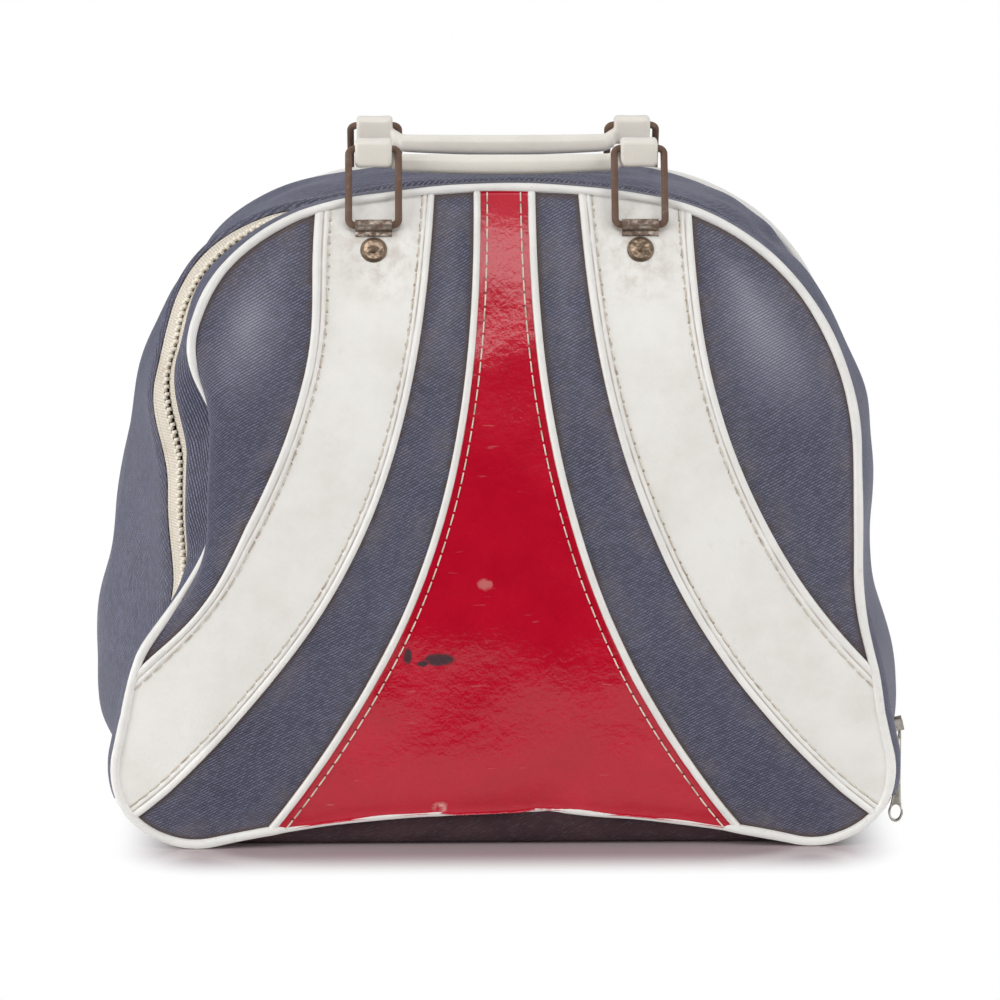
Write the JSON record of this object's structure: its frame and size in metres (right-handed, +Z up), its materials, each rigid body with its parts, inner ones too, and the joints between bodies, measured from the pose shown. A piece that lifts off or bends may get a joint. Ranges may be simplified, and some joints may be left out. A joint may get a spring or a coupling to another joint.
{
  "type": "bowling ball bag",
  "caption": "soft-sided bell-shaped carrying bag with a zip-open front, contrast stripes, edge piping and hinged handles on wire loops",
  "frame": {"origin": "middle of the underside, on the surface the bag stands on", "axes": "+X to the bag's right seen from the front, +Y to its back, +Z up"},
  "size_m": [0.3701, 0.23, 0.3081],
  "materials": {
    "navy_cloth": "woven vinyl-backed cloth, embossed, lightly worn",
    "red_vinyl": "glossy grained vinyl with creases",
    "white_vinyl": "satin grained vinyl",
    "white_piping": "smooth vinyl piping",
    "grey_board": "pressed fibreboard",
    "aged_steel_strip": "tarnished plated strip",
    "aged_brass_rivet": "tarnished brass plate",
    "rusty_wire": "brown rusted wire",
    "white_moulding": "moulded vinyl, satin gloss",
    "cream_tape": "woven cotton tape",
    "cream_teeth": "moulded teeth",
    "zip_metal": "tarnished plate",
    "plated_wire": "dull zinc plate"
  },
  "bodies": {
    "root": {"rear_panel_cloth": "navy_cloth", "rear_red_panel": "red_vinyl", "rear_right_band": "white_vinyl", "rear_left_band": "white_vinyl", "rear_red_welts": "white_piping", "rear_right_band_welts": "white_piping", "rear_left_band_welts": "white_piping", "rear_edge_piping": "white_piping", "rear_stiffener": "grey_board", "rear_rivet_washers": "aged_steel_strip", "rear_left_chape": "aged_steel_strip", "rear_right_chape": "aged_steel_strip", "rear_left_rivet": "aged_brass_rivet", "rear_right_rivet": "aged_brass_rivet", "rear_gusset": "navy_cloth", "rear_zip_tape": "cream_tape", "rear_zip_teeth": "cream_teeth", "zip_stops": "zip_metal", "base_cover": "navy_cloth", "base_board": "grey_board", "ball_ring": "plated_wire", "ring_clips": "aged_steel_strip", "ring_clip_rivets": "aged_brass_rivet"},
    "front_shell": {"front_panel_cloth": "navy_cloth", "front_red_panel": "red_vinyl", "front_right_band": "white_vinyl", "front_left_band": "white_vinyl", "front_red_welts": "white_piping", "front_right_band_welts": "white_piping", "front_left_band_welts": "white_piping", "front_edge_piping": "white_piping", "front_stiffener": "grey_board", "front_rivet_washers": "aged_steel_strip", "front_left_chape": "aged_steel_strip", "front_right_chape": "aged_steel_strip", "front_left_rivet": "aged_brass_rivet", "front_right_rivet": "aged_brass_rivet", "front_gusset": "navy_cloth", "front_zip_tape": "cream_tape", "front_zip_teeth": "cream_teeth"},
    "front_left_loop": {"front_left_loop": "rusty_wire"},
    "front_right_loop": {"front_right_loop": "rusty_wire"},
    "rear_left_loop": {"rear_left_loop": "rusty_wire"},
    "rear_right_loop": {"rear_right_loop": "rusty_wire"},
    "front_handle": {"front_handle": "white_moulding"},
    "rear_handle": {"rear_handle": "white_moulding"},
    "zip_slider": {"zip_slider": "zip_metal"},
    "zip_pull": {"zip_pull": "zip_metal"}
  },
  "joints": [
    {"name": "front_opening", "type": "hinge", "parent": "root", "child": "front_shell", "pos_m": [0, -0.115, 0], "axis": [1, 0, 0], "range_deg": [0, 70]},
    {"name": "front_left_loop_hinge", "type": "hinge", "parent": "front_shell", "child": "front_left_loop", "pos_m": [-0.0595, -0.05609, 0.27178], "axis": [1, 0, 0], "range_deg": [0, 140]},
    {"name": "front_right_loop_hinge", "type": "hinge", "parent": "front_shell", "child": "front_right_loop", "pos_m": [0.0595, -0.05609, 0.27178], "axis": [1, 0, 0], "range_deg": [0, 140]},
    {"name": "front_handle_hinge", "type": "hinge", "parent": "front_left_loop", "child": "front_handle", "pos_m": [0, -0.03849, 0.30353], "axis": [1, 0, 0], "range_deg": [0, 205]},
    {"name": "rear_left_loop_hinge", "type": "hinge", "parent": "root", "child": "rear_left_loop", "pos_m": [-0.0595, 0.05609, 0.27178], "axis": [-1, 0, 0], "range_deg": [0, 140]},
    {"name": "rear_right_loop_hinge", "type": "hinge", "parent": "root", "child": "rear_right_loop", "pos_m": [0.0595, 0.05609, 0.27178], "axis": [-1, 0, 0], "range_deg": [0, 140]},
    {"name": "rear_handle_hinge", "type": "hinge", "parent": "rear_left_loop", "child": "rear_handle", "pos_m": [0, 0.03849, 0.30353], "axis": [-1, 0, 0], "range_deg": [0, 205]},
    {"name": "zip_slide", "type": "slide", "parent": "root", "child": "zip_slider", "axis": [-0.2116, 0, 0.9774], "range_m": [0, 0.022]},
    {"name": "pull_hinge", "type": "hinge", "parent": "zip_slider", "child": "zip_pull", "pos_m": [0.17675, -0.084, 0.04895], "axis": [0, -1, 0], "range_deg": [0, 140]}
  ],
  "couplings": [
    {"joint": "front_right_loop_hinge", "follows": "front_left_loop_hinge", "ratio": 1},
    {"joint": "rear_right_loop_hinge", "follows": "rear_left_loop_hinge", "ratio": 1}
  ]
}
